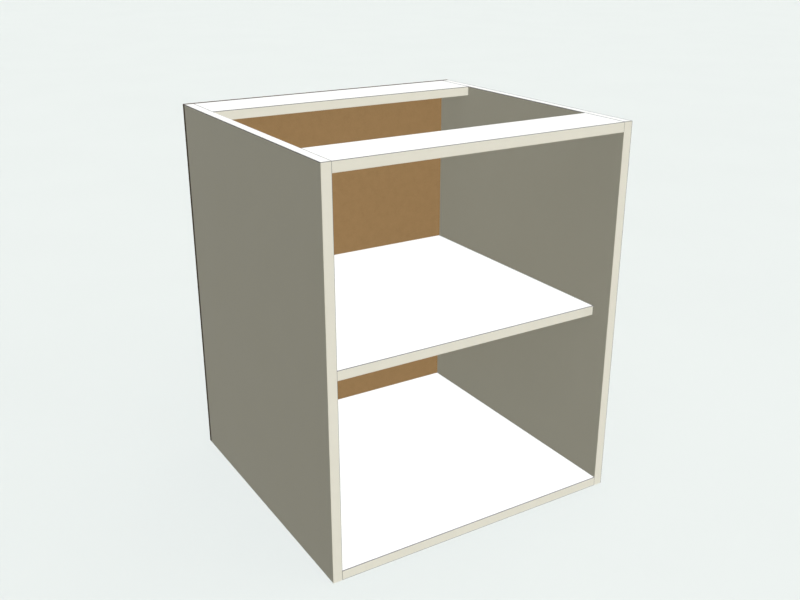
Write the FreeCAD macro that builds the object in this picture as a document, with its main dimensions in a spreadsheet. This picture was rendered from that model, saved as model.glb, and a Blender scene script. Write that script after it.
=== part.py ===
import FreeCAD
import Part
import Sketcher
import math
import operator
import os
from types import SimpleNamespace

# A kitchen base cabinet carcass: melamine-faced boards with edging strips, held by
# cam locks, cam bolts and dowels, with a nailed hardboard back and a loose shelf.
# The origin is at the middle of the floor under the cabinet: +X is to the right,
# +Y is to the back and +Z is up. All lengths are in millimetres.

SIZES = {
    # Carcass
    "width": 600.0,
    "height": 720.0,
    "depth": 560.0,
    "board": 18.0,
    "rail_width": 100.0,
    "edging": 1.0,
    "edging_round": 0.7,
    "back_sheet": 8.0,
    # Shelf, with its height measured to its underside
    "shelf_height": 351.0,
    "shelf_setback": 40.0,
    "shelf_side_gap": 1.0,
    "shelf_rear_gap": 1.0,
    # Plug-in shelf supports, with their inset from the shelf's front and rear edges
    "support_inset": 50.0,
    "support_width": 10.0,
    "support_reach": 9.0,
    "support_drop": 11.0,
    "support_wall": 2.0,
    "support_round": 2.5,
    "peg": 5.0,
    "peg_length": 8.0,
    # Where the cam fittings sit, from the bottom panel's edges and the boards' ends
    "fitting_inset": 64.0,
    "fitting_pitch": 32.0,
    "cam_reach": 34.0,
    # Cam lock
    "cam": 15.0,
    "cam_crown": 4.3,
    "cam_recess": 0.3,
    "cam_play": 0.1,
    "cam_track": 9.8,
    "cam_throw": 0.7,
    "cam_chamfer": 0.4,
    "driver_slot_width": 1.4,
    "driver_slot_length": 8.0,
    "driver_slot_depth": 2.4,
    # Mark on the cam's driver face, with its gap from the driver slots and from the rim
    "mark_gap": 0.5,
    "mark_width": 2.6,
    "mark_depth": 0.9,
    # Cam bolt
    "bolt_head": 6.4,
    "bolt_head_length": 4.2,
    "bolt_shoulder": 0.6,
    "bolt_neck": 4.0,
    "bolt_shank": 7.0,
    "bolt_thread": 5.0,
    "bolt_thread_length": 11.0,
    "bolt_recess_width": 0.8,
    "bolt_recess_length": 3.0,
    "bolt_recess_depth": 1.5,
    "head_play": 0.2,
    "neck_play": 1.0,
    "shank_play": 0.5,
    # Dowel
    "dowel": 8.0,
    "dowel_length": 30.0,
    "dowel_seat": 11.0,
    "dowel_chamfer": 1.0,
    "dowel_flute": 0.9,
    "dowel_flutes": 16,
    # Nails of the back, with insets from the outer corners and the number in a row
    "nail": 1.6,
    "nail_length": 25.0,
    "nail_point": 2.5,
    "nail_head": 3.6,
    "nail_head_depth": 0.9,
    "nail_inset_up": 60.0,
    "nail_inset_across": 110.0,
    "nails_up": 5,
    "nails_across": 3,
    # Clearances of what is pressed in: around it, and past its end
    "press_play": 0.02,
    "end_gap": 0.5,
}

FULL_TURN = 360.0
HALF_TURN = 180.0
QUARTER_TURN = 90.0
PAIR = 2
# The most of a wall's thickness that the rounding of its edge may take
ROUNDED_SHARE = 0.9
# How near to a plane an edge counts as lying on it
ON_PLANE = 1e-6

doc = FreeCAD.newDocument("kitchen_base_cabinet")


class Formula:
    """A number, with the spreadsheet formula that it follows."""

    def __init__(self, value, text):
        self.value = value
        self.text = text

    def __add__(self, other):
        return joined("+", operator.add, self, other)

    def __sub__(self, other):
        return joined("-", operator.sub, self, other)

    def __mul__(self, other):
        return joined("*", operator.mul, self, other)

    def __rmul__(self, other):
        return joined("*", operator.mul, other, self)

    def __truediv__(self, other):
        return joined("/", operator.truediv, self, other)

    def __neg__(self):
        return joined("*", operator.mul, -1, self)


def formula(item):
    """The item itself, or a plain number as a formula."""
    return item if isinstance(item, Formula) else Formula(item, str(item))


def joined(sign, action, left, right):
    """Two formulas, or a formula and a number, joined by an arithmetic sign."""
    left = formula(left)
    right = formula(right)
    return Formula(action(left.value, right.value), f"({left.text} {sign} {right.text})")


def smaller(left, right):
    """The smaller of two formulas."""
    return Formula(min(left.value, right.value), f"min({left.text}; {right.text})")


def root(item):
    """The square root of a formula."""
    return Formula(math.sqrt(item.value), f"sqrt({item.text})")


def fill_sheet():
    """Writes the sizes to the spreadsheet and gives a formula for each."""
    sheet = doc.addObject("Spreadsheet::Sheet", "Sizes")
    rows = {}
    for row, (alias, value) in enumerate(SIZES.items(), 1):
        sheet.set(f"A{row}", alias)
        sheet.set(f"B{row}", str(value))
        sheet.setAlias(f"B{row}", alias)
        rows[alias] = Formula(value, f"Sizes.{alias}")
    doc.recompute()
    return SimpleNamespace(**rows)


# Sketch and feature helpers

def bind(item, name, amount):
    """Ties a property to a formula."""
    item.setExpression(name, amount.text)


def dimension(sketch, kind, *ends, amount):
    """Adds a sketch dimension that follows a formula."""
    amount = formula(amount)
    number = sketch.addConstraint(Sketcher.Constraint(kind, *ends, amount.value))
    bind(sketch, f"Constraints[{number}]", amount)


def pin_point(sketch, line, end, across, up):
    """Fixes one end of a sketch line by its distances from the sketch's origin."""
    dimension(sketch, "DistanceX", -1, 1, line, end, amount=across)
    dimension(sketch, "DistanceY", -1, 1, line, end, amount=up)


def new_body(label):
    """An empty body that may hold several separate solids."""
    body = doc.addObject("PartDesign::Body", label)
    body.Label = label
    body.AllowCompound = True
    return body


def origin_item(body, role):
    """One of the body's own origin planes or axes."""
    return next(item for item in body.Origin.OriginFeatures if item.Role == role)


def new_sketch(body, name, plane, offset=0.0):
    """An empty sketch on an origin plane, moved along the plane's normal."""
    sketch = body.newObject("Sketcher::SketchObject", f"{body.Label}_{name}")
    sketch.AttachmentSupport = [(origin_item(body, plane), "")]
    sketch.MapMode = "FlatFace"
    bind(sketch, "AttachmentOffset.Base.z", formula(offset))
    return sketch


def draw_outline(sketch, corners):
    """A closed outline of straight lines, with every corner placed by formulas."""
    places = [(formula(across), formula(up)) for across, up in corners]
    points = [FreeCAD.Vector(across.value, up.value, 0) for across, up in places]
    count = len(points)
    for number in range(count):
        sketch.addGeometry(Part.LineSegment(points[number], points[(number + 1) % count]), False)
    for number in range(count):
        sketch.addConstraint(Sketcher.Constraint("Coincident", number, 2, (number + 1) % count, 1))
    for number, (across, up) in enumerate(places):
        pin_point(sketch, number, 1, across, up)


def draw_rectangle(sketch, left, low, right, high):
    """A rectangle between two opposite corners."""
    draw_outline(sketch, [(left, low), (right, low), (right, high), (left, high)])


def draw_circle(sketch, across, up, diameter):
    """A circle placed by its centre."""
    centre = FreeCAD.Vector(formula(across).value, formula(up).value, 0)
    circle = sketch.addGeometry(Part.Circle(centre, FreeCAD.Vector(0, 0, 1), diameter.value / 2), False)
    pin_point(sketch, circle, 3, across, up)
    dimension(sketch, "Diameter", circle, amount=diameter)


def feature(body, kind, name, sketch):
    """A sketch-based feature of a body, ready for its sizes."""
    item = body.newObject(f"PartDesign::{kind}", f"{body.Label}_{name}")
    item.Profile = sketch
    return item


def pad(body, name, sketch, length):
    """Extrudes a sketch along its plane's normal."""
    item = feature(body, "Pad", name, sketch)
    bind(item, "Length", length)
    doc.recompute()
    return item


def check_cut(body, before, name):
    """Stops if a cut took nothing away."""
    if body.Tip.Shape.Volume >= before:
        raise RuntimeError(f"{body.Label}: {name} cuts nothing")


def pocket(body, name, sketch, depth):
    """Cuts a sketch against its plane's normal."""
    before = body.Tip.Shape.Volume
    item = feature(body, "Pocket", name, sketch)
    bind(item, "Length", depth)
    doc.recompute()
    check_cut(body, before, name)
    return item


def drill(body, name, plane, offset, spots, diameter, depth, forwards):
    """Flat-bottomed holes from a plane, along its normal when forwards is true."""
    before = body.Tip.Shape.Volume
    sketch = new_sketch(body, f"{name}_spots", plane, offset)
    for across, up in spots:
        draw_circle(sketch, across, up, diameter)
    doc.recompute()
    item = feature(body, "Hole", name, sketch)
    doc.recompute()
    item.ThreadType = "None"
    item.DepthType = "Dimension"
    item.DrillPoint = "Flat"
    item.Reversed = forwards
    bind(item, "Diameter", diameter)
    bind(item, "Depth", depth)
    doc.recompute()
    check_cut(body, before, name)
    return item


def turned(body, name, plane, axis, profile):
    """A solid turned from a half profile about one of its sketch's axes."""
    sketch = new_sketch(body, f"{name}_profile", plane)
    draw_outline(sketch, profile)
    item = feature(body, "Revolution", name, sketch)
    item.ReferenceAxis = (sketch, [axis])
    item.Angle = FULL_TURN
    doc.recompute()
    return item


def row(body, axis, length, count):
    """Repeats the whole shape so far in a straight row along an origin axis."""
    item = body.newObject("PartDesign::LinearPattern", f"{body.Label}_row")
    item.TransformMode = "Whole shape"
    item.Direction = (origin_item(body, axis), [""])
    bind(item, "Length", length)
    bind(item, "Occurrences", formula(count))
    body.Tip = item
    doc.recompute()


def ring(body, name, original, axis, angle, count):
    """Repeats a feature about an origin axis, spread over an angle."""
    item = body.newObject("PartDesign::PolarPattern", f"{body.Label}_{name}")
    item.Originals = [original]
    item.Axis = (origin_item(body, axis), [""])
    item.Angle = angle
    bind(item, "Occurrences", formula(count))
    body.Tip = item
    doc.recompute()


def mirror_ends(body, originals):
    """Repeats features of a board's left end at its right end."""
    item = body.newObject("PartDesign::Mirrored", f"{body.Label}_right_end")
    item.Originals = originals
    item.MirrorPlane = (origin_item(body, "YZ_Plane"), [""])
    body.Tip = item
    doc.recompute()


def edge_finish(body, kind, property_name, wanted, amount):
    """A fillet or chamfer on the tip's edges that a test picks out."""
    base = body.Tip
    names = [f"Edge{number}" for number, edge in enumerate(base.Shape.Edges, 1) if wanted(edge)]
    item = body.newObject(f"PartDesign::{kind}", f"{body.Label}_{kind.lower()}")
    item.Base = (base, names)
    bind(item, property_name, amount)
    doc.recompute()


def place(body, across, back, up, turn=0.0):
    """Sets a body's place in the cabinet, turned about the vertical."""
    spot = [formula(across), formula(back), formula(up)]
    corner = FreeCAD.Vector(*[item.value for item in spot])
    body.Placement = FreeCAD.Placement(corner, FreeCAD.Rotation(FreeCAD.Vector(0, 0, 1), turn))
    for axis, item in zip("xyz", spot):
        bind(body, f"Placement.Base.{axis}", item)
    doc.recompute()


def slab(label, length, depth, height):
    """A block centred on X that stands on Z = 0, with its front at Y = 0."""
    body = new_body(label)
    sketch = new_sketch(body, "outline", "XY_Plane")
    draw_rectangle(sketch, -length / 2, 0, length / 2, depth)
    pad(body, "block", sketch, height)
    return body


# Sizes that several pieces share

size = fill_sheet()
front = -(size.depth + size.back_sheet) / 2
rear = front + size.depth
middle = front + size.depth / 2
inner_width = size.width - 2 * size.board
half_board = size.board / 2
core_depth = size.depth - size.edging
rail_core = size.rail_width - size.edging
shelf_core = size.depth - size.shelf_setback - size.shelf_rear_gap - size.edging
rail_height = size.height - size.board
shelf_length = inner_width - 2 * size.shelf_side_gap
side_line = (size.width - size.board) / 2
press_gap = 2 * size.press_play

# Each row holds a front and a rear fitting, this far apart about the carcass's middle
bolt_spread = {
    "bottom": size.depth - 2 * size.fitting_inset,
    "top": size.depth - size.rail_width + size.fitting_pitch,
}
dowel_spread = {
    "bottom": bolt_spread["bottom"] - 2 * size.fitting_pitch,
    "top": bolt_spread["top"] - 2 * size.fitting_pitch,
}
row_floor = {"bottom": formula(0), "top": rail_height}

support_front = front + size.shelf_setback + size.support_inset
support_rear = rear - size.shelf_rear_gap - size.support_inset
peg_height = size.shelf_height - size.support_drop / 2

# Room in the cam for the bolt's head and neck, and how far from the cam's axis its locked
# track takes hold of the head, above and below the slot that the neck runs in
head_room = size.bolt_head / 2 + size.head_play
neck_room = size.bolt_neck / 2 + size.head_play
held_half_width = root(size.bolt_head * size.bolt_head / 4 - neck_room * neck_room)
track_reach = root(size.cam_track * size.cam_track / 4 - held_half_width * held_half_width)
head_grip = track_reach - size.cam_throw - size.head_play
head_end = head_grip - size.bolt_head_length

nail_grip = size.nail_length - size.back_sheet + size.end_gap
nail_rise = size.height - 2 * size.nail_inset_up
nail_run = size.width - 2 * size.nail_inset_across


def nail_heights():
    """Heights of the nails along a side."""
    count = int(size.nails_up.value)
    return [size.nail_inset_up + number * nail_rise / (size.nails_up - 1) for number in range(count)]


def nail_places():
    """Places of the nails across the cabinet."""
    count = int(size.nails_across.value)
    return [number * nail_run / (size.nails_across - 1) - nail_run / 2 for number in range(count)]


# Boards

def drill_rear_edge(body, depth, spots):
    """Nail holes in a board's rear edge."""
    drill(body, "nail_holes", "XZ_Plane", -depth, spots, size.nail + press_gap, nail_grip, True)


def side_panel(label, hand):
    """A side, with hand -1 on the left and 1 on the right: its inner face is drilled."""
    body = slab(label, size.board, core_depth, size.height - size.edging)
    inner_face = -hand * half_board
    into_board = hand > 0
    local_middle = size.depth / 2 - size.edging
    bolt_spots = []
    dowel_spots = []
    for level in row_floor:
        up = row_floor[level] + half_board
        for end in (-1, 1):
            bolt_spots.append((local_middle + end * bolt_spread[level] / 2, up))
            dowel_spots.append((local_middle + end * dowel_spread[level] / 2, up))
    peg_spots = [(spot - front - size.edging, peg_height) for spot in (support_front, support_rear)]
    nail_spots = [(0, up) for up in nail_heights()]
    bolt_depth = size.bolt_thread_length + size.end_gap
    dowel_depth = size.dowel_seat + size.end_gap
    peg_depth = size.peg_length + size.end_gap
    drill(body, "bolt_holes", "YZ_Plane", inner_face, bolt_spots,
          size.bolt_thread + press_gap, bolt_depth, into_board)
    drill(body, "dowel_holes", "YZ_Plane", inner_face, dowel_spots,
          size.dowel + press_gap, dowel_depth, into_board)
    drill(body, "peg_holes", "YZ_Plane", inner_face, peg_spots,
          size.peg + press_gap, peg_depth, into_board)
    drill_rear_edge(body, core_depth, nail_spots)
    place(body, hand * side_line, front + size.edging, 0)
    return body


def drill_joint_ends(body, bolt_places, dowel_places):
    """Cam, bolt and dowel holes at both ends of a board between the sides."""
    left_end = -inner_width / 2
    cam_spots = [(left_end + size.cam_reach, spot) for spot in bolt_places]
    bolt_spots = [(spot, half_board) for spot in bolt_places]
    dowel_spots = [(spot, half_board) for spot in dowel_places]
    dowel_depth = size.dowel_length - size.dowel_seat + size.end_gap
    cam_depth = half_board + size.cam_crown + size.end_gap
    ends = [
        drill(body, "bolt_holes", "YZ_Plane", left_end, bolt_spots,
              size.bolt_shank + 2 * size.shank_play, size.cam_reach, True),
        drill(body, "dowel_holes", "YZ_Plane", left_end, dowel_spots,
              size.dowel + press_gap, dowel_depth, True),
        drill(body, "cam_holes", "XY_Plane", 0, cam_spots, size.cam + 2 * size.cam_play, cam_depth, True),
    ]
    mirror_ends(body, ends)


def bottom_panel():
    """The bottom, between the sides and flush with their lower ends."""
    body = slab("bottom_panel", inner_width, core_depth, size.board)
    drill_rear_edge(body, core_depth, [(across, half_board) for across in nail_places()])
    local_middle = size.depth / 2 - size.edging
    bolts = [local_middle + end * bolt_spread["bottom"] / 2 for end in (-1, 1)]
    dowels = [local_middle + end * dowel_spread["bottom"] / 2 for end in (-1, 1)]
    drill_joint_ends(body, bolts, dowels)
    place(body, 0, front + size.edging, 0)
    return body


def front_rail():
    """The front top rail, laid flat between the sides."""
    body = slab("front_rail", inner_width, rail_core, size.board)
    start = front + size.edging
    drill_joint_ends(body, [middle - bolt_spread["top"] / 2 - start],
                     [middle - dowel_spread["top"] / 2 - start])
    place(body, 0, start, rail_height)
    return body


def rear_rail():
    """The rear top rail, which the back is nailed to."""
    body = slab("rear_rail", inner_width, rail_core, size.board)
    start = rear - rail_core
    drill_rear_edge(body, rail_core, [(across, half_board) for across in nail_places()])
    drill_joint_ends(body, [middle + bolt_spread["top"] / 2 - start],
                     [middle + dowel_spread["top"] / 2 - start])
    place(body, 0, start, rail_height)
    return body


def back_panel():
    """The hardboard back, nailed over the rear edges with its nail heads let in."""
    body = slab("back_panel", size.width, size.back_sheet, size.height)
    spots = [(hand * side_line, up) for hand in (-1, 1) for up in nail_heights()]
    for up in (half_board, size.height - half_board):
        spots += [(across, up) for across in nail_places()]
    drill(body, "nail_holes", "XZ_Plane", -size.back_sheet, spots,
          size.nail + press_gap, size.back_sheet, True)
    drill(body, "head_seats", "XZ_Plane", -size.back_sheet, spots,
          size.nail_head + press_gap, size.nail_head_depth, True)
    place(body, 0, rear, 0)
    return body


def shelf():
    """The loose shelf, a little shorter than the gap between the sides."""
    body = slab("shelf", shelf_length, shelf_core, size.board)
    place(body, 0, front + size.shelf_setback + size.edging, size.shelf_height)
    return body


# Edging strips

def edging_strip(label, length, depth, height, rounded):
    """A strip whose outer long edges are rounded, no further than its thickness allows."""
    body = slab(label, length, depth, height)
    edge_finish(body, "Fillet", "Radius", rounded, smaller(size.edging_round, ROUNDED_SHARE * size.edging))
    return body


def upright_front(edge):
    """An upright edge of a strip's front face."""
    return edge.BoundBox.YMax < ON_PLANE and edge.BoundBox.XLength < ON_PLANE


def level_front(edge):
    """A level edge of a strip's front face."""
    return edge.BoundBox.YMax < ON_PLANE and edge.BoundBox.ZLength < ON_PLANE


def lengthwise_top(edge):
    """An edge of a strip's top face that runs from front to back."""
    return edge.BoundBox.ZMin > size.edging.value - ON_PLANE and edge.BoundBox.XLength < ON_PLANE


def side_edgings(label, hand):
    """The front and top strips of a side."""
    across = hand * side_line
    front_strip = edging_strip(f"{label}_front_edging", size.board, size.edging, size.height, upright_front)
    place(front_strip, across, front, 0)
    top_strip = edging_strip(f"{label}_top_edging", size.board, core_depth, size.edging, lengthwise_top)
    place(top_strip, across, front + size.edging, size.height - size.edging)
    return [front_strip, top_strip]


def board_edging(label, length, back, up):
    """The front strip of a level board."""
    strip = edging_strip(label, length, size.edging, size.board, level_front)
    place(strip, 0, back, up)
    return strip


def edgings():
    """All edging strips."""
    strips = side_edgings("left_side", -1) + side_edgings("right_side", 1)
    strips.append(board_edging("bottom_edging", inner_width, front, 0))
    strips.append(board_edging("front_rail_edging", inner_width, front, rail_height))
    strips.append(board_edging("rear_rail_edging", inner_width, rear - size.rail_width, rail_height))
    strips.append(board_edging("shelf_edging", shelf_length, front + size.shelf_setback, size.shelf_height))
    return strips


# Cam fittings. Each points along +X at a right-hand side and is turned about for a left-hand one.

def turn_for(hand):
    """The turn that points a fitting at its side."""
    return 0.0 if hand > 0 else HALF_TURN


def cam_lock(label):
    """A cam lock in its locked place, with its driver slots down and its bolt along +X.

    An eccentric track is sunk from the upper end. A slot lets the bolt's neck pass the wall
    for the half turn between the locked place and the mouth, where the head enters. Seen
    from the driver's side the lock opens anticlockwise, and a sunk mark points at the mouth.
    """
    body = new_body(label)
    axis_height = half_board - size.cam_recess
    height = axis_height + size.cam_crown
    track_depth = size.cam_crown + head_room
    outline = new_sketch(body, "outline", "XY_Plane")
    draw_circle(outline, 0, 0, size.cam)
    pad(body, "barrel", outline, height)
    edge_finish(body, "Chamfer", "Size", lambda edge: edge.BoundBox.ZMax < ON_PLANE, size.cam_chamfer)
    track = new_sketch(body, "track_outline", "XY_Plane", height)
    draw_circle(track, -size.cam_throw, 0, size.cam_track)
    pocket(body, "track", track, track_depth)
    slot = new_sketch(body, "neck_slot_outline", "XY_Plane", axis_height + neck_room)
    draw_rectangle(slot, -size.cam, -head_room, size.cam, size.cam)
    pocket(body, "neck_slot", slot, 2 * neck_room)
    mouth = new_sketch(body, "mouth_outline", "XY_Plane", height)
    draw_rectangle(mouth, -size.cam, -head_room, 0, head_room)
    pocket(body, "mouth", mouth, track_depth)
    driver = new_sketch(body, "driver_slot_outline", "XY_Plane", size.driver_slot_depth)
    draw_rectangle(driver, -size.driver_slot_length / 2, -size.driver_slot_width / 2,
                   size.driver_slot_length / 2, size.driver_slot_width / 2)
    first_slot = pocket(body, "driver_slot", driver, size.driver_slot_depth)
    ring(body, "driver_cross", first_slot, "Z_Axis", QUARTER_TURN, PAIR)
    mark_base = -(size.driver_slot_length / 2 + size.mark_gap)
    mark_tip = -(size.cam / 2 - size.cam_chamfer - size.mark_gap)
    mark = new_sketch(body, "mark_outline", "XY_Plane", size.mark_depth)
    draw_outline(mark, [(mark_tip, 0), (mark_base, -size.mark_width / 2), (mark_base, size.mark_width / 2)])
    pocket(body, "mark", mark, size.mark_depth)
    return body


def cam_locks():
    """Two cam locks at each end of the bottom and one at each end of each rail."""
    locks = []
    for hand, side in ((-1, "left"), (1, "right")):
        across = hand * (inner_width / 2 - size.cam_reach)
        for end, place_name in ((-1, "front"), (1, "rear")):
            labels = {"bottom": f"cam_bottom_{side}_{place_name}", "top": f"cam_{place_name}_rail_{side}"}
            for level, label in labels.items():
                body = cam_lock(label)
                back = middle + end * bolt_spread[level] / 2
                place(body, across, back, row_floor[level] + size.cam_recess, turn_for(hand))
                locks.append(body)
    return locks


def bolt_profile():
    """Half profile of a cam bolt along X, from its head at the cam to its threaded end."""
    neck_start = head_grip + size.bolt_shoulder
    shank_start = size.cam / 2 + size.cam_play + size.neck_play
    tip = size.cam_reach + size.bolt_thread_length
    lead = size.bolt_shoulder
    return [
        (head_end, 0),
        (head_end, size.bolt_neck / 2),
        (head_end + lead, size.bolt_head / 2),
        (head_grip, size.bolt_head / 2),
        (neck_start, size.bolt_neck / 2),
        (shank_start, size.bolt_neck / 2),
        (shank_start, size.bolt_shank / 2),
        (size.cam_reach, size.bolt_shank / 2),
        (size.cam_reach, size.bolt_thread / 2),
        (tip - lead, size.bolt_thread / 2),
        (tip, size.bolt_thread / 2 - lead),
        (tip, 0),
    ]


def dowel_profile():
    """Half profile of a dowel along X, from inside the board to inside the side."""
    start = -(size.dowel_length - size.dowel_seat)
    radius = size.dowel / 2
    return [
        (start, 0),
        (start, radius - size.dowel_chamfer),
        (start + size.dowel_chamfer, radius),
        (size.dowel_seat - size.dowel_chamfer, radius),
        (size.dowel_seat, radius - size.dowel_chamfer),
        (size.dowel_seat, 0),
    ]


def cam_bolt(label):
    """A cam bolt along X, with a cross recess for its driver in the end of its head."""
    body = new_body(label)
    turned(body, "bolt", "XY_Plane", "H_Axis", bolt_profile())
    recess = new_sketch(body, "recess_outline", "YZ_Plane", head_end + size.bolt_recess_depth)
    draw_rectangle(recess, -size.bolt_recess_length / 2, -size.bolt_recess_width / 2,
                   size.bolt_recess_length / 2, size.bolt_recess_width / 2)
    first_slot = pocket(body, "recess_slot", recess, size.bolt_recess_depth)
    ring(body, "recess_cross", first_slot, "X_Axis", QUARTER_TURN, PAIR)
    return body


def dowel(label):
    """A wooden dowel along X, fluted so that the glue can spread."""
    body = new_body(label)
    turned(body, "dowel", "XY_Plane", "H_Axis", dowel_profile())
    groove = new_sketch(body, "flute_outline", "YZ_Plane", size.dowel_seat)
    draw_circle(groove, 0, size.dowel / 2, size.dowel_flute)
    first_flute = pocket(body, "flute", groove, size.dowel_length)
    ring(body, "flutes", first_flute, "X_Axis", FULL_TURN, size.dowel_flutes)
    return body


def set_in_row(body, hand, across, level, spread):
    """Repeats a fitting at the front and the rear of one side, level with the middle of their boards."""
    row(body, "Y_Axis", spread, PAIR)
    start = middle - hand * spread / 2
    place(body, hand * across, start, row_floor[level] + half_board, turn_for(hand))
    return body


def joint_rows():
    """The cam bolts and dowels of both sides, in bottom and top rows."""
    rows = []
    for hand, side in ((-1, "left"), (1, "right")):
        for level in row_floor:
            bolts = cam_bolt(f"cam_bolts_{level}_{side}")
            dowels = dowel(f"dowels_{level}_{side}")
            rows.append(set_in_row(bolts, hand, inner_width / 2 - size.cam_reach, level, bolt_spread[level]))
            rows.append(set_in_row(dowels, hand, inner_width / 2, level, dowel_spread[level]))
    return rows


# Shelf supports and nails

def shelf_support(label, hand, back):
    """A plug-in support: a peg in the side and a gusseted tongue under the shelf."""
    body = new_body(label)
    gusset = new_sketch(body, "gusset", "XZ_Plane", -size.support_width / 2)
    draw_outline(gusset, [
        (0, 0),
        (0, -size.support_drop),
        (-size.support_wall, -size.support_drop),
        (-size.support_reach, -size.support_wall),
        (-size.support_reach, 0),
    ])
    pad(body, "bracket", gusset, size.support_width)

    def tongue_corner(edge):
        return edge.BoundBox.XMax < -size.support_reach.value + ON_PLANE and edge.BoundBox.ZLength > ON_PLANE

    corner_round = smaller(size.support_round, ROUNDED_SHARE * size.support_width / 2)
    edge_finish(body, "Fillet", "Radius", tongue_corner, corner_round)
    peg = new_sketch(body, "peg_outline", "YZ_Plane")
    draw_circle(peg, 0, -size.support_drop / 2, size.peg)
    pad(body, "peg", peg, size.peg_length)
    place(body, hand * inner_width / 2, back, size.shelf_height, turn_for(hand))
    return body


def shelf_supports():
    """Four supports, two at each end of the shelf."""
    supports = []
    for hand, side in ((-1, "left"), (1, "right")):
        for place_name, back in (("front", support_front), ("rear", support_rear)):
            supports.append(shelf_support(f"shelf_support_{side}_{place_name}", hand, back))
    return supports


def nail_row(label, axis, length, count, across, up):
    """A row of nails through the back, with their heads flush with its rear face."""
    body = new_body(label)
    radius = size.nail / 2
    turned(body, "nail", "XY_Plane", "V_Axis", [
        (0, 0),
        (size.nail_head / 2, 0),
        (size.nail_head / 2, -size.nail_head_depth),
        (radius, -size.nail_head_depth),
        (radius, size.nail_point - size.nail_length),
        (0, -size.nail_length),
    ])
    row(body, axis, length, count)
    place(body, across, rear + size.back_sheet, up)
    return body


def nail_rows():
    """Nails along both sides, the bottom and the rear rail."""
    return [
        nail_row("back_nails_left", "Z_Axis", nail_rise, size.nails_up, -side_line, size.nail_inset_up),
        nail_row("back_nails_right", "Z_Axis", nail_rise, size.nails_up, side_line, size.nail_inset_up),
        nail_row("back_nails_bottom", "X_Axis", nail_run, size.nails_across, -nail_run / 2, half_board),
        nail_row("back_nails_top", "X_Axis", nail_run, size.nails_across, -nail_run / 2,
                 size.height - half_board),
    ]


def build():
    """Every piece of the cabinet."""
    boards = [
        side_panel("left_side", -1),
        side_panel("right_side", 1),
        bottom_panel(),
        front_rail(),
        rear_rail(),
        back_panel(),
        shelf(),
    ]
    return boards + edgings() + cam_locks() + joint_rows() + shelf_supports() + nail_rows()


def check(pieces):
    """Stops if anything in the document failed, or a piece has no sound shape."""
    failed = [item.Name for item in doc.Objects if {"Invalid", "Error"} & set(item.State)]
    unsound = [body.Label for body in pieces if body.Shape.isNull() or not body.Shape.isValid()]
    if failed or unsound:
        raise RuntimeError(f"failed: {failed}, unsound: {unsound}")


pieces = build()
doc.recompute()
check(pieces)
os.makedirs("parts", exist_ok=True)
for body in pieces:
    body.Shape.exportStep(f"parts/{body.Label}.step")
    print(body.Label, len(body.Shape.Solids), "solids", round(body.Shape.Volume / 1000, 3), "cm3")
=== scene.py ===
import functools
import math

import bpy
from mathutils import Matrix, Vector


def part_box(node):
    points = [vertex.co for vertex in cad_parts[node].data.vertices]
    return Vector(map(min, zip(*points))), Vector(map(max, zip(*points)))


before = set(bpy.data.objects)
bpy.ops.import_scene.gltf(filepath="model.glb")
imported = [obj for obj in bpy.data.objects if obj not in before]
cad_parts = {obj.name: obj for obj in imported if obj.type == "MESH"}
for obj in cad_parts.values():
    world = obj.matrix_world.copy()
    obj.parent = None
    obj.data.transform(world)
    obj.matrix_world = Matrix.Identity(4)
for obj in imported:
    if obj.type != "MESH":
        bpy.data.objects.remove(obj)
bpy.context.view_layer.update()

# Lengths are in metres, in the part's frame: +X right, +Y back, +Z up. Colours are linear RGB.
X, Y, Z = 0, 1, 2
LOW, HIGH = 0, 1
MM = 0.001
WHITE = (1.0, 1.0, 1.0)

# Camera: where the photograph was taken from, for a picture of 800 by 600 pixels. Its lens and
# sensor are in millimetres.
EYE = Vector((-0.8956, -1.4682, 1.0258))
AIM = Vector((0.0001, -0.0093, 0.3600))
LENS = 42.86
SENSOR = 36.0

# Room: how bright it is to matt faces, and to gloss from below and from above
AMBIENT = 0.10
GLOSS_BELOW = 0.20
GLOSS_ABOVE = 0.56
BACKDROP_COLOUR = (0.855, 0.896, 0.880)

# Lamps: the angles over which their light is spread, in degrees
KEY_SPREAD = 100
FILL_SPREAD = 40

# Floor: clouded with a slightly darker tone, and just below the cabinet
FLOOR_COLOUR = (0.634, 0.638, 0.530)
FLOOR_DARK_TONE = 0.99
FLOOR_CLOUD = 0.6
FLOOR_ROUGHNESS = (0.85, 0.95)
FLOOR_REACH = 40.0
FLOOR_DROP = 0.4 * MM

# Edges of boards: how far the outer ones are eased, from which angle an edge is sharp, and how near
# to each other two corners count as one
BOARD_ARRIS = 0.25 * MM
HARDBOARD_ARRIS = 0.4 * MM
ARRIS_STEPS = 2
SHARP_ANGLE = math.radians(40)
WELD_REACH = 0.002 * MM
OUTER_EDGE = "outer_edge"

# Patterns: the values of a noise over which it goes from one look to another, and the share of an
# axis in a surface's direction over which the surface comes to be a face along that axis
WIDE = (0.30, 0.70)
MIDDLE = (0.35, 0.65)
FACE_SHARE = (0.60, 0.85)

# Grime and painted shade on thin lines along edges and joints: SOFT_SHARE is the share of a line's width
# over which it fades out
# The lines' grey is partly dirt and partly painted shade, as in the gaps of joints and along arrises
GRIME_AND_SHADE_LIGHT = (0.250, 0.242, 0.218)
GRIME_AND_SHADE_DARK = (0.170, 0.160, 0.138)
GRIME_AND_SHADE_PATCH = 0.7 * MM
GRIME_AND_SHADE_ROUGHNESS = 0.90
SOFT_SHARE = 0.25

# Chipboard: CORE_END is where the core gives way to the fine layers, in thicknesses from the middle
CHIP_DARK = (0.210, 0.125, 0.060)
CHIP_MIDDLE = (0.430, 0.280, 0.140)
CHIP_LIGHT = (0.600, 0.430, 0.250)
CHIP_STOPS = (0.05, 0.45, 0.95)
CORE_END = (0.22, 0.36)
CORE_FLAKE = 1.6 * MM
FINE_FLAKE = 0.5 * MM
FLAKE_STRETCH = 2.2
CHIP_ROUGHNESS = 0.85
CHIP_DEPTH = 0.35 * MM

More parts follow.
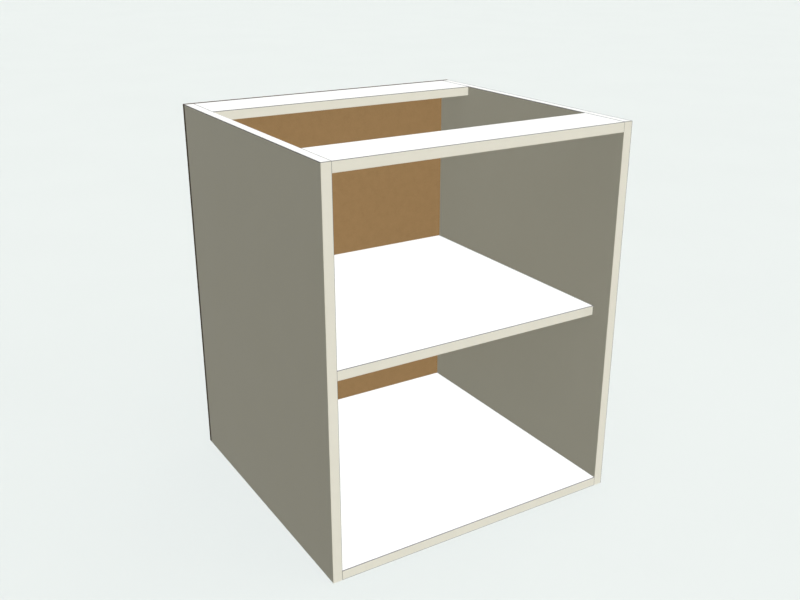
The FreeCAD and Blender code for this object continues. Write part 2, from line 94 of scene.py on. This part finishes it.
# Melamine paper on the boards' faces
IVORY = (0.880, 0.852, 0.712)
IVORY_SHADE = (0.866, 0.838, 0.698)
# Painted shade on the left side and painted light on the right side, evening out the key lamp on their
# faces that look left
SIDE_LIGHT_AND_SHADE_TONES = {"left_side": 0.955, "right_side": 1.020}
PAPER_CLOUD = 90 * MM
PAPER_CLOUD_SHARE = 0.6
PAPER_GRAIN = 1.1 * MM
PAPER_DEPTH = 0.042 * MM
PAPER_SMUDGE = 45 * MM
SMUDGE_RANGE = (0.35, 0.70)
PAPER_ROUGHNESS = (0.36, 0.47)
PAPER_SHINE = 0.10

# Plastic edging
EDGING_CLOUD = 42 * MM
EDGING_GRAIN = 0.9 * MM
EDGING_DEPTH = 0.03 * MM
EDGING_ROUGHNESS = (0.33, 0.41)
EDGING_SHINE = 0.35

# Hardboard: its fibres lie three ways, and its specks are measured in shares of their spacing
HARDBOARD_LIGHT = (0.383, 0.235, 0.102)
HARDBOARD_DARK = (0.331, 0.201, 0.084)
HARDBOARD_FLECK = (0.180, 0.100, 0.040)
HARDBOARD_SAWN = (0.125, 0.086, 0.044)
HARDBOARD_SAWN_DARK = (0.070, 0.047, 0.024)
HARDBOARD_CLOUD = 14 * MM
HARDBOARD_RANGE = (0.38, 0.68)
FIBRE_WIDTH = 0.8 * MM
FIBRE_STRETCH = 6
FIBRE_TURNS = (25, 80, -50)
FIBRE_SHARE = 0.70
FIBRE_DEPTH = 0.0375 * MM
SPECK_SPACING = 7 * MM
SPECK_EDGE = (0.08, 0.03)
SPECK_CHANCE = (0.45, 0.75)
SPECK_STRENGTH = 0.6
SCREEN_PITCH = 2.0 * MM
SCREEN_LINE = (-0.2, 0.9)
SCREEN_SHADE = (0.14, 0.40)
SCREEN_DEPTH = 0.15 * MM
DAMP_PATCH = 120 * MM
DAMP_RANGE = (0.40, 0.62)
DAMP_SHADE = 0.16
LAYER_THICKNESS = 0.5 * MM
LAYER_STRETCH = 12
INNER_ROUGHNESS = (0.46, 0.58)
REAR_ROUGHNESS = 0.80
HARDBOARD_SHINE = 0.20

# Beech, with grain and flecks drawn out along the dowels
BEECH_LIGHT = (0.640, 0.440, 0.260)
BEECH_DARK = (0.500, 0.315, 0.165)
BEECH_GRAIN = 0.6 * MM
BEECH_GRAIN_STRETCH = 16
BEECH_FLECK = 0.35 * MM
BEECH_FLECK_STRETCH = 5
BEECH_FLECK_RANGE = (0.66, 0.74)
BEECH_FLECK_STRENGTH = 0.6
BEECH_ROUGHNESS = (0.55, 0.72)
BEECH_DEPTH = 0.1 * MM

# Metals
ZINC_LIGHT = (0.760, 0.765, 0.770)
ZINC_DARK = (0.600, 0.605, 0.615)
STEEL_LIGHT = (0.700, 0.695, 0.680)
STEEL_DARK = (0.560, 0.555, 0.545)
METAL_RANGE = (0.32, 0.68)
METAL_GRAIN = 0.25 * MM


class Nodes:
    """A node tree being made, with short calls that add and link its nodes."""

    def __init__(self, tree):
        self.tree = tree

    def feed(self, socket, value):
        """Links value to the socket if it is a node's output, and otherwise sets it, opaque if a colour."""
        if isinstance(value, bpy.types.NodeSocket):
            self.tree.links.new(value, socket)
        elif socket.type == "RGBA":
            socket.default_value = (*value, 1.0)
        else:
            socket.default_value = value

    def set(self, node, **values):
        """Sets or links inputs of a node, named with _ for each space."""
        for name, value in values.items():
            self.feed(node.inputs[name.replace("_", " ")], value)

    def add(self, kind, *values, **named_values):
        """A new node, with values on its first inputs and on the inputs that are named."""
        node = self.tree.nodes.new(kind)
        for socket, value in zip(node.inputs, values):
            self.feed(socket, value)
        self.set(node, **named_values)
        return node

    def math(self, operation, *values):
        """What an operation on numbers gives."""
        node = self.add("ShaderNodeMath", *values)
        node.operation = operation
        return node.outputs["Value"]

    def parts(self, vector):
        """A vector's three numbers."""
        return self.add("ShaderNodeSeparateXYZ", vector).outputs


class Recipe(Nodes):
    """A material being made, with calls for what the recipes share."""

    def __init__(self, name):
        self.material = bpy.data.materials.new(name)
        self.material.use_nodes = True
        super().__init__(self.material.node_tree)
        self.shader = self.tree.nodes["Principled BSDF"]
        self.coordinates = self.add("ShaderNodeTexCoord").outputs

    def surface(self, **values):
        """Sets or links inputs of the material's shader."""
        self.set(self.shader, **values)

    def relief(self, height, depth):
        """Bumps the surface by the height, from 0 to 1, times the depth in metres."""
        bump = self.add("ShaderNodeBump", Height=height, Distance=depth)
        self.surface(Normal=bump.outputs["Normal"])

    def between(self, value, low, high, to_low=0.0, to_high=1.0):
        """The value taken smoothly from the range low to high over to the range to_low to to_high."""
        node = self.add("ShaderNodeMapRange", value, low, high, to_low, to_high)
        node.interpolation_type = "SMOOTHSTEP"
        return node.outputs["Result"]

    def mix(self, kind, share, first, second):
        """From first, where the share is 0, to second, where it is 1. The kind is Float or Color."""
        node = self.add("ShaderNodeMix")
        node.data_type = {"Float": "FLOAT", "Color": "RGBA"}[kind]
        sockets = {socket.identifier: socket for socket in (*node.inputs, *node.outputs)}
        self.feed(sockets["Factor_Float"], share)
        self.feed(sockets[f"A_{kind}"], first)
        self.feed(sockets[f"B_{kind}"], second)
        return sockets[f"Result_{kind}"]

    def lerp(self, share, first, second):
        """A number that goes from first, where the share is 0, to second, where it is 1."""
        return self.mix("Float", share, first, second)

    def blend(self, share, first, second):
        """A colour that goes from first, where the share is 0, to second, where it is 1."""
        return self.mix("Color", share, first, second)

    def ramp(self, value, *stops):
        """A colour read from stops of (place, colour), with the value as the place."""
        node = self.add("ShaderNodeValToRGB", value)
        elements = node.color_ramp.elements
        while len(elements) < len(stops):
            elements.new(1.0)
        for element, (place, colour) in zip(elements, stops):
            element.position = place
            element.color = (*colour, 1.0)
        return node.outputs["Color"]

    def place(self, stretch=(1, 1, 1), turn=(0, 0, 0)):
        """A point of the piece in the part's frame, stretched and turned for a pattern."""
        node = self.add("ShaderNodeMapping", self.coordinates["Object"], Rotation=turn, Scale=stretch)
        node.vector_type = "TEXTURE"
        return node.outputs["Vector"]

    def noise(self, size, detail, place=None):
        """Soft random patches about size metres across, from 0 to 1. More detail adds finer patches."""
        place = place or self.coordinates["Object"]
        return self.add("ShaderNodeTexNoise", place, Scale=1 / size, Detail=detail).outputs["Fac"]

    def cells(self, size, place=None):
        """Random cells about size metres across: each cell's own number, and the way to its middle."""
        place = place or self.coordinates["Object"]
        node = self.add("ShaderNodeTexVoronoi", place, Scale=1 / size)
        return self.parts(node.outputs["Color"])[X], node.outputs["Distance"]

    def facing(self, axis):
        """How far the surface faces along an axis, from -1 to 1."""
        return self.parts(self.coordinates["Normal"])[axis]

    def line(self, node, axis, end, width):
        """1 within width millimetres of one end of a node along an axis, LOW or HIGH, and 0 further in."""
        place = self.parts(self.coordinates["Object"])[axis]
        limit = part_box(node)[end][axis]
        distance = self.math("ABSOLUTE", self.math("SUBTRACT", place, limit))
        return self.between(distance, width * MM, (1 - SOFT_SHARE) * width * MM)

    def paint_grime_and_shade(self, node, lines, colour, roughness):
        """A colour and a roughness with matt grey lines of grime and painted shade over them, along a
        node's edges.
        """
        if not lines:
            return colour, roughness
        share = 0.0
        for line in lines:
            share = self.math("MAXIMUM", share, self.line(node, *line))
        # The grey is partly grime and partly painted shade in the joints and along the arrises
        patch = self.between(self.noise(GRIME_AND_SHADE_PATCH, detail=3), *MIDDLE)
        line_grey = self.blend(patch, GRIME_AND_SHADE_DARK, GRIME_AND_SHADE_LIGHT)
        return self.blend(share, colour, line_grey), self.lerp(share, roughness, GRIME_AND_SHADE_ROUGHNESS)


def toned(colour, tone):
    """A colour made lighter, by a tone over 1, or darker."""
    return [tone * channel for channel in colour]


def chipboard(recipe, thickness_axis):
    """The colour and height of sawn chipboard: coarse flakes in the core, fine ones under the faces."""
    through = recipe.parts(recipe.coordinates["Generated"])[thickness_axis]
    from_middle = recipe.math("ABSOLUTE", recipe.math("SUBTRACT", through, 0.5))
    near_face = recipe.between(from_middle, *CORE_END)
    stretch = [FLAKE_STRETCH] * 3
    stretch[thickness_axis] = 1.0
    place = recipe.place(stretch)
    core, core_way = recipe.cells(CORE_FLAKE, place)
    fine, fine_way = recipe.cells(FINE_FLAKE, place)
    flake = recipe.lerp(near_face, core, fine)
    way = recipe.lerp(near_face, core_way, fine_way)
    colour = recipe.ramp(flake, *zip(CHIP_STOPS, (CHIP_DARK, CHIP_MIDDLE, CHIP_LIGHT)))
    return colour, recipe.math("SUBTRACT", 1.0, way)


def melamine(node, thickness_axis, lines, tone):
    """Ivory melamine paper on a board's two faces, and raw chipboard on its sawn edges and in its holes."""
    recipe = Recipe(f"melamine_{node}")
    on_face = recipe.between(recipe.math("ABSOLUTE", recipe.facing(thickness_axis)), *FACE_SHARE)
    chip_colour, chip_height = chipboard(recipe, thickness_axis)
    cloud = recipe.noise(PAPER_CLOUD, detail=3)
    grain = recipe.noise(PAPER_GRAIN, detail=2)
    mottle = recipe.between(recipe.lerp(PAPER_CLOUD_SHARE, grain, cloud), *WIDE)
    # A tone under 1 is painted shade and one over 1 painted light, evening out how the key lamp falls on
    # the sides
    paper = recipe.blend(mottle, toned(IVORY_SHADE, tone), toned(IVORY, tone))
    smudge = recipe.between(recipe.noise(PAPER_SMUDGE, detail=4), *SMUDGE_RANGE, *PAPER_ROUGHNESS)
    paper, smudge = recipe.paint_grime_and_shade(node, lines, paper, smudge)
    recipe.surface(
        Base_Color=recipe.blend(on_face, chip_colour, paper),
        Roughness=recipe.lerp(on_face, CHIP_ROUGHNESS, smudge),
        Specular_IOR_Level=PAPER_SHINE,
    )
    paper_height = recipe.math("MULTIPLY", grain, PAPER_DEPTH / CHIP_DEPTH)
    recipe.relief(recipe.lerp(on_face, chip_height, paper_height), CHIP_DEPTH)
    return recipe.material


def edging(node, lines):
    """Satin ivory plastic edging, with lines of grime and painted shade along some of its trimmed edges."""
    recipe = Recipe(f"edging_{node}")
    cloud = recipe.noise(EDGING_CLOUD, detail=3)
    face = recipe.blend(recipe.between(cloud, *WIDE), IVORY_SHADE, IVORY)
    satin = recipe.between(cloud, *WIDE, *EDGING_ROUGHNESS)
    face, satin = recipe.paint_grime_and_shade(node, lines, face, satin)
    recipe.surface(Base_Color=face, Roughness=satin, Specular_IOR_Level=EDGING_SHINE)
    recipe.relief(recipe.noise(EDGING_GRAIN, detail=2), EDGING_DEPTH)
    return recipe.material


def felted_fibre(recipe):
    """Fibres that lie several ways in the plane of the back, from 0 to 1."""
    fibre = 0.0
    for turn in FIBRE_TURNS:
        place = recipe.place((FIBRE_STRETCH, 1, 1), (0, math.radians(turn), 0))
        fibre = recipe.math("MAXIMUM", fibre, recipe.noise(FIBRE_WIDTH, detail=2, place=place))
    return fibre


def screen_print(recipe):
    """The print of the press screen: 1 along the lines of its mesh, and 0 in the squares between them."""
    place = recipe.parts(recipe.coordinates["Object"])
    waves = [
        recipe.math("SINE", recipe.math("MULTIPLY", place[axis], 2 * math.pi / SCREEN_PITCH))
        for axis in (X, Z)
    ]
    return recipe.between(recipe.math("MAXIMUM", *waves), *SCREEN_LINE)


def hardboard(name):
    """Brown hardboard: pressed smooth on its inner face, printed by the press screen on its rear face."""
    recipe = Recipe(name)
    towards_rear = recipe.facing(Y)
    on_inner = recipe.between(recipe.math("MULTIPLY", towards_rear, -1.0), *FACE_SHARE)
    on_rear = recipe.between(towards_rear, *FACE_SHARE)
    on_sawn = recipe.between(recipe.math("ABSOLUTE", towards_rear), *reversed(FACE_SHARE))

    cloud = recipe.noise(HARDBOARD_CLOUD, detail=4)
    fibre = felted_fibre(recipe)
    tone = recipe.between(recipe.lerp(FIBRE_SHARE, cloud, fibre), *HARDBOARD_RANGE)
    ground = recipe.blend(tone, HARDBOARD_DARK, HARDBOARD_LIGHT)
    cell, way = recipe.cells(SPECK_SPACING)
    strength = recipe.between(cell, *SPECK_CHANCE, 0.0, SPECK_STRENGTH)
    speck = recipe.math("MULTIPLY", recipe.between(way, *SPECK_EDGE), strength)
    ground = recipe.blend(speck, ground, HARDBOARD_FLECK)

    screen = screen_print(recipe)
    rear = recipe.blend(recipe.lerp(screen, *SCREEN_SHADE), ground, HARDBOARD_FLECK)
    damp = recipe.between(recipe.noise(DAMP_PATCH, detail=4), *DAMP_RANGE, 0.0, DAMP_SHADE)
    rear = recipe.blend(damp, rear, HARDBOARD_FLECK)
    layer = recipe.noise(LAYER_THICKNESS, detail=3, place=recipe.place((LAYER_STRETCH, 1, LAYER_STRETCH)))
    sawn = recipe.blend(recipe.between(layer, *WIDE), HARDBOARD_SAWN_DARK, HARDBOARD_SAWN)
    smooth = recipe.between(cloud, *MIDDLE, *INNER_ROUGHNESS)
    recipe.surface(
        Base_Color=recipe.blend(on_sawn, recipe.blend(on_rear, ground, rear), sawn),
        Roughness=recipe.lerp(on_inner, REAR_ROUGHNESS, smooth),
        Specular_IOR_Level=HARDBOARD_SHINE,
    )
    fibre_height = recipe.math("MULTIPLY", fibre, FIBRE_DEPTH / SCREEN_DEPTH)
    recipe.relief(recipe.lerp(on_rear, fibre_height, screen), SCREEN_DEPTH)
    return recipe.material


def beech(name):
    """Pale beech for the dowels, with grain along their length and short dark flecks."""
    recipe = Recipe(name)
    grain = recipe.noise(BEECH_GRAIN, detail=4, place=recipe.place((BEECH_GRAIN_STRETCH, 1, 1)))
    fleck = recipe.noise(BEECH_FLECK, detail=1, place=recipe.place((BEECH_FLECK_STRETCH, 1, 1)))
    fleck = recipe.between(fleck, *BEECH_FLECK_RANGE, 0.0, BEECH_FLECK_STRENGTH)
    colour = recipe.blend(recipe.between(grain, *MIDDLE), BEECH_DARK, BEECH_LIGHT)
    recipe.surface(
        Base_Color=recipe.blend(fleck, colour, CHIP_DARK),
        Roughness=recipe.between(grain, *WIDE, *BEECH_ROUGHNESS),
    )
    recipe.relief(grain, BEECH_DEPTH)
    return recipe.material


def metal(name, light, dark, patch, roughness, depth):
    """Bare metal: clouded in patches, with a fine grain left by casting or tumbling."""
    recipe = Recipe(name)
    cloud = recipe.noise(patch, detail=4)
    recipe.surface(
        Base_Color=recipe.blend(recipe.between(cloud, *METAL_RANGE), dark, light),
        Metallic=1.0,
        Roughness=recipe.between(cloud, *WIDE, *roughness),
    )
    recipe.relief(recipe.noise(METAL_GRAIN, detail=3), depth)
    return recipe.material


def studio_floor(name):
    """Pale matt floor, open from below so that the underside can be looked at."""
    recipe = Recipe(name)
    cloud = recipe.noise(FLOOR_CLOUD, detail=3)
    shade = toned(FLOOR_COLOUR, FLOOR_DARK_TONE)
    recipe.surface(
        Base_Color=recipe.blend(recipe.between(cloud, *WIDE), shade, FLOOR_COLOUR),
        Roughness=recipe.between(cloud, *WIDE, *FLOOR_ROUGHNESS),
        Specular_IOR_Level=0.0,
    )
    from_below = recipe.add("ShaderNodeNewGeometry").outputs["Backfacing"]
    pale = recipe.shader.outputs["BSDF"]
    clear = recipe.add("ShaderNodeBsdfTransparent").outputs["BSDF"]
    either = recipe.add("ShaderNodeMixShader", from_below, pale, clear)
    recipe.set(recipe.tree.nodes["Material Output"], Surface=either.outputs["Shader"])
    return recipe.material


def dress(node, material):
    """
    Gives a CAD node its finish, and hides it from diffuse rays, so that it neither tints nor darkens
    the room's light on its neighbours.
    """
    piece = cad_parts[node]
    piece.data.materials.clear()
    piece.data.materials.append(material)
    piece.visible_diffuse = False


@functools.cache
def edge_marks():
    """
    Geometry nodes that crease a piece along its sharp edges, and store which of its edges lie on the
    edges of its box, where two of the box's faces meet: 1 there, and 0 elsewhere.
    """
    tree = bpy.data.node_groups.new("edge_marks", "GeometryNodeTree")
    for way in ("INPUT", "OUTPUT"):
        tree.interface.new_socket("Geometry", in_out=way, socket_type="NodeSocketGeometry")
    marks = Nodes(tree)
    piece = marks.add("NodeGroupInput").outputs["Geometry"]
    angle = marks.add("GeometryNodeInputMeshEdgeAngle").outputs["Unsigned Angle"]
    sharp = marks.math("GREATER_THAN", angle, SHARP_ANGLE)
    creased = marks.add("GeometryNodeSetMeshNormal", piece, Edge_Sharpness=sharp).outputs["Mesh"]

    place = marks.parts(marks.add("GeometryNodeInputPosition").outputs["Position"])
    box = marks.add("GeometryNodeBoundBox", piece).outputs
    faces = 0.0
    for corner in (marks.parts(box["Min"]), marks.parts(box["Max"])):
        for axis in (X, Y, Z):
            on_face = marks.math("COMPARE", place[axis], corner[axis], WELD_REACH)
            faces = marks.math("ADD", faces, on_face)
    outer = marks.math("GREATER_THAN", faces, 1.0)
    store = marks.add("GeometryNodeStoreNamedAttribute", creased, Name=OUTER_EDGE, Value=outer)
    store.domain = "EDGE"
    marks.add("NodeGroupOutput", store.outputs["Geometry"])
    return tree


def close_seams(nodes):
    """Joins corners that lie in one place, so that each mesh is a closed skin, and marks its edges."""
    for name in nodes:
        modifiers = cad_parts[name].modifiers
        modifiers.new("weld", "WELD").merge_threshold = WELD_REACH
        modifiers.new("edge_marks", "NODES").node_group = edge_marks()


def ease_arrises(nodes, width):
    """Takes the knife edge off the outer edges of boards, as sanding and handling do."""
    close_seams(nodes)
    for name in nodes:
        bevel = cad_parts[name].modifiers.new("arris", "BEVEL")
        bevel.width = width
        bevel.segments = ARRIS_STEPS
        bevel.limit_method = "WEIGHT"
        bevel.edge_weight = OUTER_EDGE
        bevel.use_clamp_overlap = False
        bevel.loop_slide = False
        bevel.harden_normals = True


def nodes_like(*words):
    """The CAD nodes whose names start with one of the words, in order."""
    return sorted(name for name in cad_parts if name.startswith(words))


def dress_boards():
    """
    Finishes the boards; a line is (axis, end, width in millimetres) of grime and painted shade. The left
    side is painted a little darker and the right side a little lighter: painted shade and painted light
    that even out how the key lamp falls on their faces that look left.
    """
    # Each line is grime with painted shade, along a joint or an edge
    front_line = (Y, LOW, 1.0)
    boards = {
        "left_side": [(Y, HIGH, 1.2)],
        "right_side": [],
        "bottom_panel": [front_line, (X, HIGH, 0.6)],
        "shelf": [front_line, (X, HIGH, 1.2)],
        "front_rail": [front_line, (X, LOW, 0.6), (X, HIGH, 1.0), (Y, HIGH, 1.0)],
        "rear_rail": [front_line, (X, LOW, 0.9), (X, HIGH, 1.0), (Y, HIGH, 3.2)],
    }
    for node, lines in boards.items():
        thickness_axis = X if node in SIDE_LIGHT_AND_SHADE_TONES else Z
        # The sides get their painted shade or painted light through the tone
        dress(node, melamine(node, thickness_axis, lines, SIDE_LIGHT_AND_SHADE_TONES.get(node, 1.0)))
    # These bright panels aren't mirrored in the boards around them
    for node in ("bottom_panel", "shelf"):
        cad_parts[node].visible_glossy = False
    dress("back_panel", hardboard("hardboard"))
    ease_arrises(boards, BOARD_ARRIS)
    ease_arrises(["back_panel"], HARDBOARD_ARRIS)


def dress_edgings():
    """Finishes the edging strips; a line is (axis, end, width in millimetres) of grime and painted shade.
    """
    # Each line is grime with painted shade, along a joint or an edge
    end_lines = [(Y, LOW, 1.0), (Y, HIGH, 2.8)]
    strips = {
        "left_side_top_edging": [(X, LOW, 1.3), (X, HIGH, 0.9), *end_lines],
        "right_side_top_edging": [(X, LOW, 2.3), (X, HIGH, 3.0), *end_lines],
        "left_side_front_edging": [(Z, HIGH, 0.7), (X, HIGH, 1.0)],
        "right_side_front_edging": [(Z, HIGH, 0.7), (X, HIGH, 1.3)],
        "front_rail_edging": [(Z, HIGH, 0.85), (X, HIGH, 0.6)],
        "shelf_edging": [(Z, HIGH, 0.7), (X, HIGH, 1.1)],
        "bottom_edging": [(Z, HIGH, 0.6), (Z, LOW, 1.2), (X, HIGH, 0.6)],
        "rear_rail_edging": [(Z, HIGH, 1.2), (X, HIGH, 0.6)],
    }
    for node, lines in strips.items():
        dress(node, edging(node, lines))


def dress_fittings():
    """Finishes the dowels, the cam locks, and the bolts, nails and shelf supports."""
    dowel_wood = beech("beech")
    zinc = metal(
        "cast_zinc", ZINC_LIGHT, ZINC_DARK, patch=3 * MM, roughness=(0.32, 0.50), depth=0.02 * MM)
    steel = metal(
        "bright_steel", STEEL_LIGHT, STEEL_DARK, patch=5 * MM, roughness=(0.22, 0.38), depth=0.008 * MM)
    for node in nodes_like("dowels_"):
        dress(node, dowel_wood)
    for node in nodes_like("cam_bottom", "cam_front", "cam_rear"):
        dress(node, zinc)
    for node in nodes_like("cam_bolts_", "back_nails_", "shelf_support_"):
        dress(node, steel)
    close_seams(nodes_like("back_nails_"))


def lay_floor():
    """Lays a wide floor just below the cabinet, which throws no light back at it."""
    mesh = bpy.data.meshes.new("floor")
    reach = FLOOR_REACH
    corners = [(-reach, -reach, 0), (reach, -reach, 0), (reach, reach, 0), (-reach, reach, 0)]
    mesh.from_pydata(corners, [], [(0, 1, 2, 3)])
    mesh.materials.append(studio_floor("studio_floor"))
    floor = bpy.data.objects.new("floor", mesh)
    floor.location.z = -FLOOR_DROP
    floor.visible_diffuse = False
    floor.visible_glossy = False
    bpy.context.scene.collection.objects.link(floor)


def hang_sun(name, towards, irradiance, colour=WHITE, spread=FILL_SPREAD, fill=True):
    """
    A far lamp in the direction towards it; irradiance 1 shows a surface that faces it in its own
    colour. A fill gives neither shadows nor highlights.
    """
    lamp = bpy.data.lights.new(name, "SUN")
    lamp.energy = math.pi * irradiance
    lamp.color = colour
    lamp.angle = math.radians(spread)
    lamp.use_shadow = not fill
    lamp.cycles.use_multiple_importance_sampling = False
    sun = bpy.data.objects.new(name, lamp)
    sun.rotation_mode = "QUATERNION"
    sun.rotation_quaternion = (-Vector(towards)).to_track_quat("-Z", "Y")
    sun.visible_glossy = not fill
    bpy.context.scene.collection.objects.link(sun)


def light_studio():
    """Hangs a soft key lamp, and fills that set how bright each way of facing is."""
    hang_sun("soft_key", towards=(0.25, -0.35, 0.90), irradiance=0.14, spread=KEY_SPREAD, fill=False)
    hang_sun("overhead", towards=(0.12, -0.10, 0.99), irradiance=1.0, colour=(0.935, 1.0, 1.26))
    hang_sun("front_fill", towards=(0.10, -0.97, 0.22), irradiance=0.571, colour=(1.0, 0.985, 0.95))
    hang_sun("right_fill", towards=(0.95, 0.10, 0.30), irradiance=0.22)
    hang_sun("rear_fill", towards=(0.42, 0.84, -0.35), irradiance=0.55)
    hang_sun("left_fill", towards=(-1.0, 0.0, 0.05), irradiance=0.093, colour=(1.0, 0.975, 0.76))
    hang_sun("under_fill", towards=(0.0, 0.0, -1.0), irradiance=0.25)


def surround_studio():
    """
    The surround: the backdrop's colour to the camera, an even dim room to matt faces, and a room
    with a pale ceiling and a darker floor to gloss.
    """
    world = bpy.data.worlds.new("studio")
    world.use_nodes = True
    room = Nodes(world.node_tree)

    def background(colour, strength):
        """Light of one colour from all around."""
        return room.add("ShaderNodeBackground", colour, strength).outputs["Background"]

    def choose(share, first, second):
        """The first background where the share is 0, and the second where it is 1."""
        return room.add("ShaderNodeMixShader", share, first, second).outputs["Shader"]

    ray = room.add("ShaderNodeLightPath").outputs
    rise = room.parts(room.add("ShaderNodeTexCoord").outputs["Generated"])[Z]
    gloss = room.add("ShaderNodeMapRange", rise, -1.0, 1.0, GLOSS_BELOW, GLOSS_ABOVE).outputs["Result"]
    unseen = choose(ray["Is Glossy Ray"], background(WHITE, AMBIENT), background(WHITE, gloss))
    seen = choose(ray["Is Camera Ray"], unseen, background(BACKDROP_COLOUR, 1.0))
    room.set(room.tree.nodes["World Output"], Surface=seen)
    bpy.context.scene.world = world


def set_camera():
    """Stands the camera where the photograph was taken from."""
    lens = bpy.data.cameras.new("camera")
    lens.sensor_fit = "HORIZONTAL"
    lens.sensor_width = SENSOR
    lens.lens = LENS
    camera = bpy.data.objects.new("camera", lens)
    camera.matrix_world = Matrix.LocRotScale(EYE, (AIM - EYE).to_track_quat("-Z", "Y"), None)
    bpy.context.scene.collection.objects.link(camera)
    bpy.context.scene.camera = camera
    bpy.context.scene.view_settings.view_transform = "Standard"


dress_boards()
dress_edgings()
dress_fittings()
lay_floor()
light_studio()
surround_studio()
set_camera()
